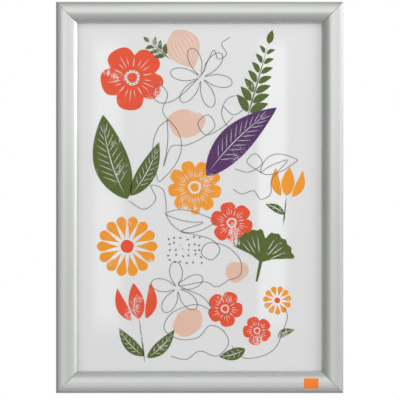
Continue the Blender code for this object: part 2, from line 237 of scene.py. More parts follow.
def cover_profile():
    """Outline of the shut snap cover, counterclockwise from its foot."""
    (inner_centre, inner_radius), (outer_centre, outer_radius), tip = cover_circles()
    inner_shell = inner_radius - SHELL_THICKNESS
    outer_shell = outer_radius - SHELL_THICKNESS
    level = math.pi / 2
    arm_front = HINGE_HEIGHT - ARM_DROP
    arm_back = arm_front - ARM_THICKNESS
    leg_outer = LEG_CUP[0] - LEG_THICKNESS / 2
    leg_inner = LEG_CUP[0] + LEG_THICKNESS / 2

    # The face, from the foot over the crown to the eave's tip
    foot_front = angle_at(inner_centre, inner_radius, COVER_FACE)
    eave_front = angle_at(outer_centre, outer_radius, tip[0])
    points = [(COVER_FACE, FOOT_BACK)]
    points += arc(inner_centre, inner_radius, foot_front, level, WIDE_STEP)
    points += arc(outer_centre, outer_radius, level, eave_front, WIDE_STEP)[1:]

    # The pocket for the rail's hook, which ends where it meets the inside of the shell
    across = outer_centre[0] - HINGE[0]
    along = outer_centre[1] - HINGE[1]
    distance = math.hypot(across, along)
    spread = (distance ** 2 + POCKET_RADIUS ** 2 - outer_shell ** 2) / (2 * distance * POCKET_RADIUS)
    pocket_end = math.atan2(along, across) + math.acos(spread)
    points += arc(HINGE, POCKET_RADIUS, EAVE_TIP_ANGLE, pocket_end, SMALL_STEP)

    # The web, the arm with its bead, and the leg with its cup
    points += [polar(outer_shell, angle_at(outer_centre, outer_shell, COVER_WEB_OUTER), outer_centre)]
    points += [(COVER_WEB_OUTER, arm_front)]
    bead_start = -math.asin(ARM_DROP / BEAD_RADIUS)
    bead_end = 2 * math.pi - math.acos((leg_outer - HINGE[0]) / BEAD_RADIUS)
    points += arc(HINGE, BEAD_RADIUS, bead_start, bead_end, SMALL_STEP)
    neck = math.acos(LEG_THICKNESS / 2 / CUP_RADIUS)
    cup_outer = CUP_FACING + CUP_HALF_ANGLE
    cup_inner = CUP_FACING - CUP_HALF_ANGLE
    points += arc(LEG_CUP, CUP_RADIUS, math.pi - neck, cup_outer, SMALL_STEP)
    points += arc(LEG_CUP, GROOVE_RADIUS, cup_outer, cup_inner, SMALL_STEP)
    points += arc(LEG_CUP, CUP_RADIUS, cup_inner, neck, SMALL_STEP)
    points += [(leg_inner, arm_back), (COVER_WEB_INNER, arm_back)]

    # The inside of the shell, back to the foot
    web_side = angle_at(outer_centre, outer_shell, COVER_WEB_INNER)
    foot_side = angle_at(inner_centre, inner_shell, COVER_FACE - FOOT_WIDTH)
    points += arc(outer_centre, outer_shell, web_side, level, WIDE_STEP)
    points += arc(inner_centre, inner_shell, level, foot_side, WIDE_STEP)[1:]
    return points + [(COVER_FACE - FOOT_WIDTH, FOOT_BACK)]


def neighbours(points):
    """Each point of a closed outline between the one before it and the one after it."""
    places = [Vector(point) for point in points]
    return zip(places[-1:] + places[:-1], places, places[1:] + places[:1])


def rounded(points, radius, own=None):
    """Round every sharp corner of a closed outline. own gives some corners a radius by their index."""
    made = []
    for index, (before, here, after) in enumerate(neighbours(points)):
        back = before - here
        ahead = after - here
        turn = math.pi - back.angle(ahead)
        if turn < ROUNDED_TURN:
            made.append(tuple(here))
            continue
        cut = (own or {}).get(index, radius) * math.tan(turn / 2)
        cut = min(cut, back.length * CORNER_SHARE, ahead.length * CORNER_SHARE)
        start = here + back.normalized() * cut
        end = here + ahead.normalized() * cut
        for step in range(CORNER_STEPS + 1):
            share = step / CORNER_STEPS
            made.append(tuple(start * (1 - share) ** 2 + here * 2 * share * (1 - share) + end * share ** 2))
    return made


def inset(points, distance):
    """A closed counterclockwise outline moved inwards by a small distance."""
    moved = []
    least_square = 0.5
    for before, here, after in neighbours(points):
        one = (here - before).normalized()
        two = (after - here).normalized()
        normal = Vector((-one.y - two.y, one.x + two.x))
        normal.normalize()
        square = max(least_square, normal.dot(Vector((-one.y, one.x))))
        moved.append(tuple(here + normal * distance / square))
    return moved


# Meshes

def new_object(name, data):
    made = bpy.data.objects.new(name, data)
    bpy.context.scene.collection.objects.link(made)
    return made


def shade(mesh):
    """Smooth shading that breaks at sharp edges."""
    mesh.shade_smooth()
    mesh.set_sharp_from_angle(angle=SHARP_ANGLE)


def final_mesh(piece):
    """A copy of a piece's mesh with its modifiers applied."""
    bpy.context.view_layer.update()
    return bpy.data.meshes.new_from_object(piece.evaluated_get(bpy.context.evaluated_depsgraph_get()))


def finish_mesh(name, shape, body, look, place=None):
    """Make an object of a bmesh, set its look and let it ride on a body."""
    bmesh.ops.recalc_face_normals(shape, faces=shape.faces)
    mesh = bpy.data.meshes.new(name)
    shape.to_mesh(mesh)
    shape.free()
    mesh.materials.append(look)
    shade(mesh)
    piece = new_object(name, mesh)
    if place is not None:
        piece.matrix_world = place
    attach(piece, body)
    return piece


def dress(node, look):
    node.data.materials.clear()
    node.data.materials.append(look)


def even_normals(piece):
    """Let the large faces keep their shading beside the small rounded edges."""
    weighted = piece.modifiers.new("even normals", "WEIGHTED_NORMAL")
    weighted.keep_sharp = True


def prism(profile, half_length, bevel):
    """Run a profile along X, with a small bevel round each end."""
    shape = bmesh.new()
    small = inset(profile, bevel)
    rings = []
    for way, outline, back in ((-1, small, 0), (-1, profile, bevel), (1, profile, bevel), (1, small, 0)):
        rings.append([shape.verts.new((way * (half_length(u) - back), -v, -u)) for u, v in outline])
    shape.faces.new(rings[0])
    shape.faces.new(reversed(rings[-1]))
    count = len(profile)
    for one, two in zip(rings, rings[1:]):
        for index in range(count):
            after = (index + 1) % count
            shape.faces.new((one[after], one[index], two[index], two[after]))
    return shape


def side_matrix(name):
    """The matrix that takes a piece along X, its outer edge at the origin, to a side of the frame."""
    turn, _, reach, _ = SIDES[name]
    place = CENTRE + Vector((math.sin(turn), 0, math.cos(turn))) * reach
    return Matrix.Translation(place) @ Matrix.Rotation(turn, 4, "Y")


def mitred(name, gap):
    """The half length of a mitred side at u."""
    return lambda u: SIDES[name][1] / 2 - u - gap


def cut_with(piece, shape):
    """Cut a closed shape out of a piece, for good."""
    mesh = bpy.data.meshes.new("cutter")
    shape.to_mesh(mesh)
    shape.free()
    cutter = new_object("cutter", mesh)
    cutter.matrix_world = piece.matrix_world
    boolean = piece.modifiers.new("cut", "BOOLEAN")
    boolean.solver = "EXACT"
    boolean.object = cutter
    made = final_mesh(piece)
    piece.modifiers.clear()
    old = piece.data
    made.name = old.name
    piece.data = made
    bpy.data.meshes.remove(old)
    bpy.data.objects.remove(cutter)
    shade(made)


def add_box(shape, low, high):
    made = bmesh.ops.create_cube(shape, size=1)
    for vertex in made["verts"]:
        share = vertex.co + Vector((0.5, 0.5, 0.5))
        vertex.co = Vector(a + (b - a) * s for a, b, s in zip(low, high, share))


def end_cutters(length):
    """Blocks that cut bead, arm and leg square near both mitres."""
    shape = bmesh.new()
    front = HINGE_HEIGHT + BEAD_RADIUS + CLEARANCE
    back = LEG_CUP[1] - CUP_RADIUS - CUTTER_OVER
    for way in (-1, 1):
        start = way * (length / 2 - END_SETBACK)
        end = way * (length / 2 + CUTTER_OVER)
        low = (min(start, end), -front, -(COVER_WEB_INNER + CUTTER_OVER))
        add_box(shape, low, (max(start, end), -back, 0))
    return shape


def screw_cutters():
    """Cylinders that cut the two screw holes of a rail."""
    shape = bmesh.new()
    for way in (-1, 1):
        place = Vector((way * SCREW_HOLE_SPACING / 2, -BACK_THICKNESS / 2, -SCREW_LINE))
        bmesh.ops.create_cone(
            shape,
            cap_ends=True,
            segments=HOLE_FACETS,
            radius1=SCREW_HOLE_RADIUS,
            radius2=SCREW_HOLE_RADIUS,
            depth=BACK_THICKNESS + 2 * CUTTER_OVER,
            matrix=Matrix.Translation(place) @ Matrix.Rotation(math.pi / 2, 4, "X"),
        )
    return shape


def build_cover(name, look):
    profile = rounded(cover_profile(), EDGE_ROUND, {FOOT_CORNER: FOOT_ROUND})
    shape = prism(profile, mitred(name, COVER_GAP), END_BEVEL)
    piece = finish_mesh("snap_profile_" + name, shape, "cover_" + name, look, side_matrix(name))
    cut_with(piece, end_cutters(SIDES[name][1]))
    even_normals(piece)
    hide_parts("snap_cover_" + name)


def build_rail(name, look):
    profile = rounded(rail_profile(), EDGE_ROUND)
    shape = prism(profile, mitred(name, RAIL_GAP), END_BEVEL)
    piece = finish_mesh("back_profile_" + name, shape, "frame", look, side_matrix(name))
    if name in ("top", "bottom"):
        cut_with(piece, screw_cutters())
    even_normals(piece)
    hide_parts("base_rail_" + name)


def add_strip(shape, one, two):
    """Faces between two rows of vertices."""
    for index in range(len(one) - 1):
        shape.faces.new((one[index], one[index + 1], two[index + 1], two[index]))


def thin_body(depths, rows, columns, place):
    """A closed skin over two grids. place gives a point for a depth, a share up and a share across."""
    shape = bmesh.new()
    skins = []
    for depth in depths:
        grid = []
        for row in range(rows + 1):
            spots = [place(depth, row / rows, column / columns) for column in range(columns + 1)]
            grid.append([shape.verts.new(spot) for spot in spots])
        skins.append(grid)
    back, front = skins
    for grid in skins:
        for one, two in zip(grid, grid[1:]):
            add_strip(shape, one, two)
    rims = [(back[0], front[0]), (back[-1], front[-1])]
    rims += [([row[end] for row in back], [row[end] for row in front]) for end in (0, -1)]
    for one, two in rims:
        add_strip(shape, one, two)
    return shape


def corner_inset(radius, edge):
    """How far a round corner draws the side in, at a distance from the end."""
    inside = max(0, radius - edge)
    return radius - math.sqrt(radius ** 2 - inside ** 2)


def build_spring(name, number, look):
    """A bowed strip of spring steel with rounded corners, seated in its two grooves."""
    reach = Vector((LEG_CUP[0] - RAIL_GROOVE[0], LEG_CUP[1] - RAIL_GROOVE[1]))
    along = reach.normalized()
    front = Vector((along.y, -along.x))

    def place(depth, share, across):
        turn = 2 * math.pi * share
        slope = SPRING_BOW * math.pi * math.sin(turn) / reach.length
        normal = (front - along * slope).normalized()
        middle = reach * share + front * SPRING_BOW * (1 - math.cos(turn)) / 2
        u, v = middle + normal * depth
        half = SPRING_LENGTH / 2 - corner_inset(SPRING_CORNER, min(share, 1 - share) * reach.length)
        return half * (2 * across - 1), -RAIL_GROOVE[1] - v, -RAIL_GROOVE[0] - u

    shape = thin_body((SPRING_THICKNESS / 2, -SPRING_THICKNESS / 2), SPRING_ROWS, SPRING_COLUMNS, place)
    shift = (-1, 1)[number - 1] * SIDES[name][3] / 2
    spot = side_matrix(name) @ Matrix.Translation((shift, 0, 0))
    label = name + "_" + str(number)
    piece = finish_mesh("spring_strip_" + label, shape, "springs_" + name, look, spot)
    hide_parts("leaf_spring_" + label)


def build_sheets():
    """Dress the poster and the panel, and lay the clear sheet over them with a slight bow."""
    dress(frame["nodes"]["poster"], paper_stock())
    dress(frame["nodes"]["back_panel"], panel_board())

    def place(depth, up, across):
        x = (across - 0.5) * SHEET_WIDTH
        z = (up - 0.5) * SHEET_HEIGHT
        bow_across = math.sin(math.pi * (x / SHEET_WIDTH + 0.5))
        bow_along = math.sin(math.pi * (z / SHEET_HEIGHT + 0.5))
        return CENTRE + Vector((x, -CLEAR_BACK - CLEAR_BOW * bow_across * bow_along - depth, z))

    shape = thin_body((0, CLEAR_THICKNESS), SHEET_ROWS, SHEET_COLUMNS, place)
    sheet = finish_mesh("clear_front_sheet", shape, "frame", matt_clear())
    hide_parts("cover_sheet")


def build_plate(look):
    """A bare plate with round corners that follows the bottom cover's curve near its right end."""
    inner, outer, _ = cover_circles()
    height = PLATE_INNER - PLATE_OUTER

    def place(rise, up, across):
        u = PLATE_OUTER + height * up
        centre, radius = inner if u > inner[0][0] else outer
        u_raised, v_raised = polar(radius + rise, angle_at(centre, radius, u), centre)
        half = PLATE_WIDTH / 2 - corner_inset(PLATE_CORNER, min(up, 1 - up) * height)
        return -(PLATE_MIDDLE + half * (2 * across - 1)), -v_raised, -u_raised

    shape = thin_body((-PLATE_RISE, PLATE_RISE), PLATE_STEPS, PLATE_STEPS, place)
    finish_mesh("orange_plate", shape, "cover_bottom", look, side_matrix("bottom"))


# Materials

# Colour, roughness and streaks of the covers' and the rails' aluminium
COVER_FINISH = ((0.618, 0.633, 0.615), 0.28, 0.02)
RAIL_FINISH = ((0.605, 0.618, 0.602), 0.31, 0.035)


class Nodes:
    """Short ways to add nodes to a tree."""

    def __init__(self, tree):
        self.tree = tree

    def node(self, kind, inputs=None, **settings):
        """Add a node. An input is given as a socket to link or as a value to set."""
        made = self.tree.nodes.new(kind)
        for key, value in settings.items():
            setattr(made, key, value)
        for key, value in (inputs or {}).items():
            if isinstance(value, bpy.types.NodeSocket):
                self.tree.links.new(value, made.inputs[key])
            else:
                made.inputs[key].default_value = value
        return made

    def maths(self, operation, *values):
        return self.node("ShaderNodeMath", dict(enumerate(values)), operation=operation).outputs[0]

    def mix(self, share, one, two, **settings):
        """Blend two colours, each a socket or its red, green and blue."""
        values = {0: share, 6: one, 7: two}
        for index in (6, 7):
            if not isinstance(values[index], bpy.types.NodeSocket):
                values[index] = (*values[index], 1)
        return self.node("ShaderNodeMix", values, data_type="RGBA", **settings).outputs[2]


class Look(Nodes):
    """A Principled material."""

    def __init__(self, name, colour, metallic, roughness):
        self.material = bpy.data.materials.new(name)
        self.material.use_nodes = True
        super().__init__(self.material.node_tree)
        self.shader = self.tree.nodes["Principled BSDF"]
        self.set("Base Color", (*colour, 1))
        self.set("Metallic", metallic)
        self.set("Roughness", roughness)

    def set(self, socket, value):
        self.shader.inputs[socket].default_value = value

    def drive(self, socket, value):
        self.tree.links.new(value, self.shader.inputs[socket])

    def place(self, scale=(1, 1, 1), turn=(0, 0, 0)):
        """Object coordinates, scaled and turned."""
        source = self.node("ShaderNodeTexCoord").outputs["Object"]
        return self.node("ShaderNodeMapping", {"Vector": source, "Scale": scale, "Rotation": turn}).outputs[0]

    def noise(self, vector, scale, detail=3.0, roughness=0.55):
        values = {"Vector": vector, "Scale": scale, "Detail": detail, "Roughness": roughness}
        return self.node("ShaderNodeTexNoise", values).outputs["Fac"]

    def spread(self, value, low, high, to_low=0.0, to_high=1.0):
        """Map a range of values onto another."""
        values = {"Value": value, "From Min": low, "From Max": high, "To Min": to_low, "To Max": to_high}
        return self.node("ShaderNodeMapRange", values).outputs[0]

    def bump(self, height, distance, strength):
        made = self.node("ShaderNodeBump", {"Height": height, "Distance": distance, "Strength": strength})
        self.drive("Normal", made.outputs[0])

    def finish_with(self, share, first):
        """Show another shader where the share is 0 and this one where it is 1."""
        both = self.node("ShaderNodeMixShader", {0: share, 1: first, 2: self.shader.outputs[0]})
        self.tree.links.new(both.outputs[0], self.tree.nodes["Material Output"].inputs[0])


def extruded_metal(name, colour, roughness, streaks):
    """Aluminium drawn through a die: faint lines run along X, and the finish is slightly cloudy."""
    look = Look(name, colour, 1.0, roughness)
    lines = look.noise(look.place((3, 1400, 1400)), 1.0, 2.0, 0.5)
    cloud = look.noise(look.place((12, 40, 40)), 1.0, 3.0, 0.5)
    both = look.maths("ADD", lines, cloud)
    dark = tuple(part * (1 - streaks) for part in colour)
    light = tuple(part * (1 + streaks) for part in colour)
    look.drive("Base Color", look.mix(look.spread(both, 0.7, 1.3), dark, light))
    look.drive("Roughness", look.spread(both, 0.7, 1.3, roughness - streaks, roughness + streaks))
    return look.material


def spring_steel():
    look = Look("blued_spring_steel", (0.33, 0.33, 0.34), 1.0, 0.28)
    lines = look.noise(look.place((1500, 40, 40)), 1.0, 3.0)
    cloud = look.noise(look.place(), 180, 3.0)
    look.drive("Base Color", look.mix(cloud, (0.24, 0.24, 0.26), (0.42, 0.41, 0.40)))
    look.drive("Roughness", look.spread(lines, 0.3, 0.7, 0.2, 0.38))
    return look.material


def zinc_plate():
    look = Look("zinc_plated_key", (0.55, 0.56, 0.58), 1.0, 0.36)
    grain = look.node("ShaderNodeTexVoronoi", {"Vector": look.place(), "Scale": 900.0}).outputs["Distance"]
    cloud = look.noise(look.place(), 240, 4.0)
    look.drive("Base Color", look.mix(cloud, (0.42, 0.43, 0.46), (0.66, 0.66, 0.64)))
    look.drive("Roughness", look.spread(grain, 0.0, 0.8, 0.28, 0.46))
    return look.material


def panel_board():
    look = Look("white_polystyrene_sheet", (0.80, 0.80, 0.79), 0.0, 0.52)
    cloud = look.noise(look.place(), 14, 4.0)
    grain = look.noise(look.place(), 1400, 3.0)
    look.drive("Base Color", look.mix(cloud, (0.76, 0.76, 0.75), (0.83, 0.83, 0.82)))
    look.drive("Roughness", look.spread(grain, 0.3, 0.7, 0.46, 0.58))
    look.bump(grain, 0.00004, 0.5)
    return look.material


PAPER = (0.742, 0.748, 0.743)

# Painted sheen on the paper: pale bands that stand in for the clear sheet's soft reflection. Each band:
# middle, half of the full part, width of each soft side, gain
PAINTED_SHEEN_BANDS = ((-0.109, 0.006, 0.020, 0.125), (0.086, 0.010, 0.013, 0.145))

# Heights between which the painted sheen bands fade in, at the top and at the bottom
PAINTED_SHEEN_ENDS = ((CENTRE.z + 0.200, CENTRE.z + 0.165), (CENTRE.z - 0.180, CENTRE.z - 0.125))


def painted_sheen(look):
    """Painted sheen: soft upright lighter bands near the sheet's long sides, which fade towards its ends,
    standing in for the clear sheet's reflection.
    """
    parts = look.node("ShaderNodeSeparateXYZ", {0: look.node("ShaderNodeTexCoord").outputs["Object"]}).outputs
    soft = "SMOOTHERSTEP"
    total = 0.0
    for middle, half, side, gain in PAINTED_SHEEN_BANDS:
        away = look.maths("ABSOLUTE", look.maths("SUBTRACT", parts["X"], middle))
        values = {0: away, 1: half + side, 2: half, 3: 0.0, 4: gain}
        one = look.node("ShaderNodeMapRange", values, interpolation_type=soft).outputs[0]
        total = look.maths("ADD", total, one)
    for start, end in PAINTED_SHEEN_ENDS:
        fade = look.node("ShaderNodeMapRange", {0: parts["Z"], 1: start, 2: end}, interpolation_type=soft)
        total = look.maths("MULTIPLY", fade.outputs[0], total)
    return look.maths("ADD", total, 1.0)


def paper_stock():
    look = Look("poster_paper", PAPER, 0.0, 0.8)
    fibre = look.noise(look.place((900, 900, 260)), 1.0, 5.0, 0.65)
    cloud = look.noise(look.place(), 11, 3.0)
    tone = look.spread(look.maths("MULTIPLY", fibre, cloud), 0.1, 0.4)
    colour = look.mix(tone, (0.732, 0.738, 0.733), (0.754, 0.760, 0.755))
    # Painted sheen: the paper's colour is made lighter in the bands near its long sides
    sheened_colour = look.node("ShaderNodeVectorMath", {0: colour, 1: painted_sheen(look)}, operation="MULTIPLY")
    look.drive("Base Color", sheened_colour.outputs[0])
    look.bump(fibre, 0.00003, 0.5)
    return look.material


def ink(name, colour, wear):
    """Screen-print ink: uneven in tone, with paper showing through in specks and scratches."""
    look = Look(name, colour, 0.0, 0.62)
    place = look.place()
    tone = look.noise(place, 70, 4.0)
    patches = look.noise(place, 34, 2.0)
    specks = look.noise(look.place((1, 1, 1.4), (0, 0.5, 0)), 560, 2.0, 0.5)
    scratch = look.noise(look.place((900, 900, 110), (0, 0.7, 0)), 1.0, 2.0, 0.5)
    speck = look.spread(look.maths("MULTIPLY", specks, patches), 0.40 - wear, 0.42 - wear)
    line = look.spread(look.maths("MULTIPLY", scratch, patches), 0.42 - wear, 0.44 - wear)
    bare = look.maths("MAXIMUM", speck, line)
    darker = tuple(part * 0.92 for part in colour)
    lighter = tuple(min(1, part * 1.07) for part in colour)
    look.drive("Base Color", look.mix(bare, look.mix(tone, darker, lighter), PAPER))
    look.drive("Roughness", look.spread(tone, 0.3, 0.7, 0.56, 0.70))
    return look.material


def matt_clear():
    """Clear sheet with a finely matted front: only its front skin reflects."""
    look = Look("matt_clear_pvc", (1, 1, 1), 1.0, 0.26)
    grain = look.noise(look.place(), 2600, 2.0)
    look.drive("Roughness", look.spread(grain, 0.3, 0.7, 0.22, 0.30))
    shine = look.node("ShaderNodeFresnel", {"IOR": 1.28}).outputs[0]
    outside = look.maths("SUBTRACT", 1.0, look.node("ShaderNodeNewGeometry").outputs["Backfacing"])
    clear = look.node("ShaderNodeBsdfTransparent", {"Color": (0.99, 0.99, 0.99, 1)}).outputs[0]
    look.finish_with(look.maths("MULTIPLY", shine, outside), clear)
    return look.material


def orange_plate():
    look = Look("orange_enamel", (0.86, 0.20, 0.014), 0.0, 0.40)
    grain = look.noise(look.place(), 900, 3.0)
    look.drive("Base Color", look.mix(grain, (0.84, 0.190, 0.012), (0.88, 0.212, 0.017)))
    look.set("Specular IOR Level", 0.3)
    return look.material


# The print, drawn in millimetres from the middle of the sheet, x to the right and z up

INK_THICKNESS = 0.03
INK_LAYER = 0.035
INK_GAP = 0.01
WELD = 0.001
LINE_WIDTH = 0.66
LINE_LAYER = 5
LINE_STEPS = 7
LINE_COLOUR = (0.095, 0.097, 0.105)
LINE_WEAR = -0.2

# Colour, layer above the paper and wear of each ink
INKS = {
    "blush": ((0.76, 0.50, 0.39), 0, 0.0),
    "amber": ((0.86, 0.31, 0.003), 1, 0.035),
    "coral": ((0.77, 0.066, 0.012), 2, 0.03),
    "olive": ((0.074, 0.112, 0.003), 3, 0.03),
    "purple": ((0.070, 0.008, 0.106), 4, 0.02),
}


def turned(points, place, angle=0.0):
    """Points turned by an angle in degrees and moved to a place."""
    c = math.cos(math.radians(angle))
    s = math.sin(math.radians(angle))
    return [(place[0] + x * c - z * s, place[1] + x * s + z * c) for x, z in points]


def smooth(points, steps):
    """A smooth curve through every point."""
    last = len(points) - 1
    made = []
    for index in range(last):
        a, b, c, d = (Vector(points[max(0, min(last, index + shift))]) for shift in (-1, 0, 1, 2))
        for step in range(steps):
            t = step / steps
            curved = (2 * a - 5 * b + 4 * c - d) * t * t + (3 * b - a - 3 * c + d) * t ** 3
            made.append(tuple(0.5 * (2 * b + (c - a) * t + curved)))
    made.append(tuple(points[-1]))
    return made


def there_and_back(one, two):
    """A closed outline up one side and down the other."""
    return one + list(reversed(two))


def leaf_side(length, width, share, bend):
    """A leaf's middle line at a share of its length, and its half width there."""
    half = width / 2 * math.sin(math.pi * share ** 0.82) ** 0.85
    return length * share, bend * 4 * share * (1 - share), half


def leaf(length, width, bend=0.0, steps=26):
    """A pointed leaf from its stalk at the origin, lying along x."""
    upper = []
    lower = []
    for index in range(steps + 1):
        x, middle, half = leaf_side(length, width, index / steps, bend)
        upper.append((x, middle + half))
        lower.append((x, middle - half))
    return there_and_back(lower[:-1], upper[1:])


def slit(start, end, width):
    """A slender cut from one point to another, thickest near its start."""
    a = Vector(start)
    b = Vector(end)
    side = Vector((a.y - b.y, b.x - a.x)).normalized() * width / 2
    points = [a, a + (b - a) * 0.25 - side, a + (b - a) * 0.7 - side * 0.7, b]
    points += [a + (b - a) * 0.7 + side * 0.7, a + (b - a) * 0.25 + side]
    return [tuple(point) for point in points]


def leaf_veins(length, width, bend, pairs):
    """The cuts of a leaf: a midrib and its side veins."""
    rib_low = []
    rib_high = []
    steps = 12
    for index in range(steps + 1):
        x, middle, _ = leaf_side(length, width, 0.07 + 0.82 * index / steps, bend)
        thick = 0.55 * math.sin(math.pi * (index + 1) / (steps + 2))
        rib_low.append((x, middle - thick))
        rib_high.append((x, middle + thick))
    cuts = [there_and_back(rib_low, rib_high)]
    for index in range(pairs):
        share = 0.2 + 0.58 * index / max(1, pairs - 1)
        x, middle, _ = leaf_side(length, width, share, bend)
        tip_x, tip_middle, tip_half = leaf_side(length, width, min(0.95, share + 0.13), bend)
        for way in (-1, 1):
            reach = way * tip_half * 0.78
            cuts.append(slit((x + 1.2, middle + way * 1.3), (tip_x, tip_middle + reach), 0.75))
    return cuts


def blob(radius, squash=1.0, wobble=0.05, lobes=3, phase=0.0, steps=48):
    """A round shape with a slightly uneven edge."""
    points = []
    for index in range(steps):
        angle = 2 * math.pi * index / steps
        r = radius * (1 + wobble * math.sin(lobes * angle + phase) + wobble / 2 * math.sin(5 * angle - phase))
        points.append((r * math.cos(angle), r * squash * math.sin(angle)))
    return points


def petal(inner, outer, width):
    """A petal along x, from an inner to an outer distance, round at its outer end."""
    sides = []
    steps = 18
    blunt = 0.6
    least_half = 0.1
    for way in (-1, 1):
        side = []
        for index in range(steps + 1):
            share = 1 - (1 - index / steps) ** 2
            turn = math.pi * 0.5 * (share ** (1 / blunt) + share ** 4)
            half = max(least_half, width / 2 * math.sin(turn) ** 0.7)
            side.append((inner + (outer - inner) * share, way * half))
        sides.append(side)
    return there_and_back(*sides)


def lobed(radius, lobes, depth):
    """A round flower outline with notches between its petals, the first notch on x."""
    points = []
    steps = 96
    for index in range(steps):
        angle = 2 * math.pi * index / steps
        swell = abs(math.sin(lobes * angle / 2))
        r = radius * (1 - depth * (1 - swell) ** 2 + 0.02 * math.sin(3 * angle + 1))
        points.append(polar(r, angle))
    return points


def blossom(radius, lobes):
    """A broad flower with cuts between and on its petals, and a ring round its eye."""
    shapes = [lobed(radius, lobes, 0.30), blob(radius * 0.24, 1, 0.03), blob(radius * 0.16, 1, 0.04)]
    for index in range(lobes):
        notch = 360 * index / lobes
        shapes.append(turned(slit((radius * 0.34, 0), (radius * 0.64, 0), 1.1), (0, 0), notch))
        for shift, start, end in ((0.30, 0.38, 0.66), (0.5, 0.34, 0.80), (0.70, 0.38, 0.62)):
            cut = slit((radius * start, 0), (radius * end, 0), 0.8)
            shapes.append(turned(cut, (0, 0), notch + 360 * shift / lobes))
    return shapes


def cut_leaf(length, width, bend, pairs):
    return [leaf(length, width, bend)] + leaf_veins(length, width, bend, pairs)


def daisy(petals, inner, outer, width):
    return [turned(petal(inner, outer, width), (0, 0), 360 * index / petals) for index in range(petals)]


def sprig(pairs, step, length, width):
    """Leaves in pairs up a stalk that runs along x from the origin."""
    reach = step * pairs
    shapes = [slit((-step, 0), (reach, 0), 1.6)]
    for index in range(pairs):
        size = 1 - 0.09 * index
        for way in (-1, 1):
            one = leaf(length * size, width * size, way * -1.5)
            shapes.append(turned(one, (step * (index + 0.1), way * 1.6), way * 48))
    shapes.append(turned(leaf(length * 0.7, width * 0.8), (reach + 1.5, 0)))
    return shapes


def tulip(height, width):
    """A closed flower along x: a middle petal and one at each side."""
    shapes = [leaf(height, width * 0.52)]
    for way in (-1, 1):
        side = leaf(height * 0.98, width * 0.36, way * height * 0.10)
        shapes.append(turned(side, (-height * 0.02, way * width * 0.24), way * 15))
    return shapes


def fan_leaf(radius):
    """A fan-shaped leaf with a notched, wavy edge, along y."""
    outline = []
    steps = 36
    for index in range(steps + 1):
        notch = math.exp(-((index - steps / 2) / 1.5) ** 2)
        r = radius * (1 + 0.03 * math.sin(index * 1.6)) * (1 - 0.24 * notch)
        outline.append(polar(r, math.radians(20 + 140 * index / steps)))
    low = radius * 0.05
    outline += [(-radius * 0.32, radius * 0.19), (-low, low), (-low * 0.6, -radius * 0.55)]
    outline += [(low * 0.6, -radius * 0.55), (low, low), (radius * 0.32, radius * 0.19)]
    cuts = []
    for degrees in (36, 48, 60, 72, 108, 120, 132, 144):
        angle = math.radians(degrees)
        start = radius * (0.30 if degrees % 24 else 0.45)
        cuts.append(slit(polar(start, angle), polar(radius * 0.84, angle), 0.95))
    return [outline] + cuts


def striped_bud(height, width):
    """A drop-shaped bud along x with fine cuts from its tip to its base."""
    shapes = [leaf(height, width)]
    steps = 10
    for index in range(-3, 4):
        sides = []
        for way in (1, -1):
            side = []
            for step in range(steps + 1):
                x, _, half = leaf_side(height, width, 0.08 + 0.80 * step / steps, 0)
                thick = 0.38 * math.sin(math.pi * (step + 1) / (steps + 2))
                side.append((x, half * index / 4 + way * thick))
            sides.append(side)
        shapes.append(there_and_back(*sides))
    return shapes


def print_motifs():
    """Each ink's motifs: the outlines, the place and the turn in degrees."""
    rng = random.Random(7)
    seeds = []
    for row in range(5):
        for column in range(6):
            x = column * 7.4 + rng.uniform(-2, 2)
            z = -row * 7 + rng.uniform(-2, 2)
            seeds.append(turned(blob(1.45, 0.6, steps=12), (x, z), rng.uniform(0, 180)))
    stamens = [turned(blob(0.85, 0.8, steps=10), polar(8.0, 2 * math.pi * index / 12)) for index in range(12)]
    return {
        "olive": [
            (sprig(7, 12, 24, 10), (58, 100), 74),
            (cut_leaf(104, 42, 6, 9), (-86, -2), 106),
            (cut_leaf(72, 22, -4, 7), (-82, 2), 62),
            (fan_leaf(40), (72, -78), -12),
            (seeds, (-36, -48), 0),
            (cut_leaf(44, 15, 3, 5), (-66, -188), 132),
            (cut_leaf(46, 15, -3, 5), (-62, -190), 46),
            ([slit((-65, -196), (-72, -142), 1.9)], (0, 0), 0),
            ([slit((99, -34), (103, 2), 1.7)], (0, 0), 0),
            (cut_leaf(25, 9, -2, 3), (100, -20), 152),
            (cut_leaf(32, 14, 2, 4), (54, -180), 196),
            (cut_leaf(22, 9, 2, 3), (92, -166), 24),
            (sprig(3, 8, 13, 6), (-40, 168), 140),
            (stamens, (-80, 142), 0),
        ],
        "amber": [
            (daisy(14, 10, 36, 12), (-86, -58), 0),
            (blossom(32, 9), (-6, 12), 8),
            (daisy(11, 5, 17, 6.6), (92, -122), 10),
            (tulip(34, 30), (103, 2), 84),
        ],
        "coral": [
            (blossom(38, 5), (-80, 142), 12),
            ([blob(7.8, 1, 0.02, 4)], (-86, -58), 0),
            (tulip(43, 36), (-72, -144), 99),
            (blossom(25, 6), (38, -30), 14),
            (blossom(21, 5), (30, -132), 30),
            (blossom(17, 5), (68, -158), 5),
            ([blob(3.4, 1, 0.02, 4)], (92, -122), 0),
        ],
        "purple": [(cut_leaf(116, 37, 6, 10), (8, 26), 44)],
        "blush": [
            (striped_bud(50, 40), (-30, 198), -62),
            ([blob(22, 0.76, 0.06, 3, 0.5)], (-16, 88), 0),
            ([blob(19, 0.80, 0.05, 2, 0.2)], (-14, -148), 30),
            ([blob(14, 0.86, 0.06, 3, 1.4)], (44, -88), 20),
        ],
    }


def ink_back(layer):
    """How far in front of the wall an ink's back lies."""
    return POSTER_FRONT / MM + INK_GAP + layer * INK_LAYER


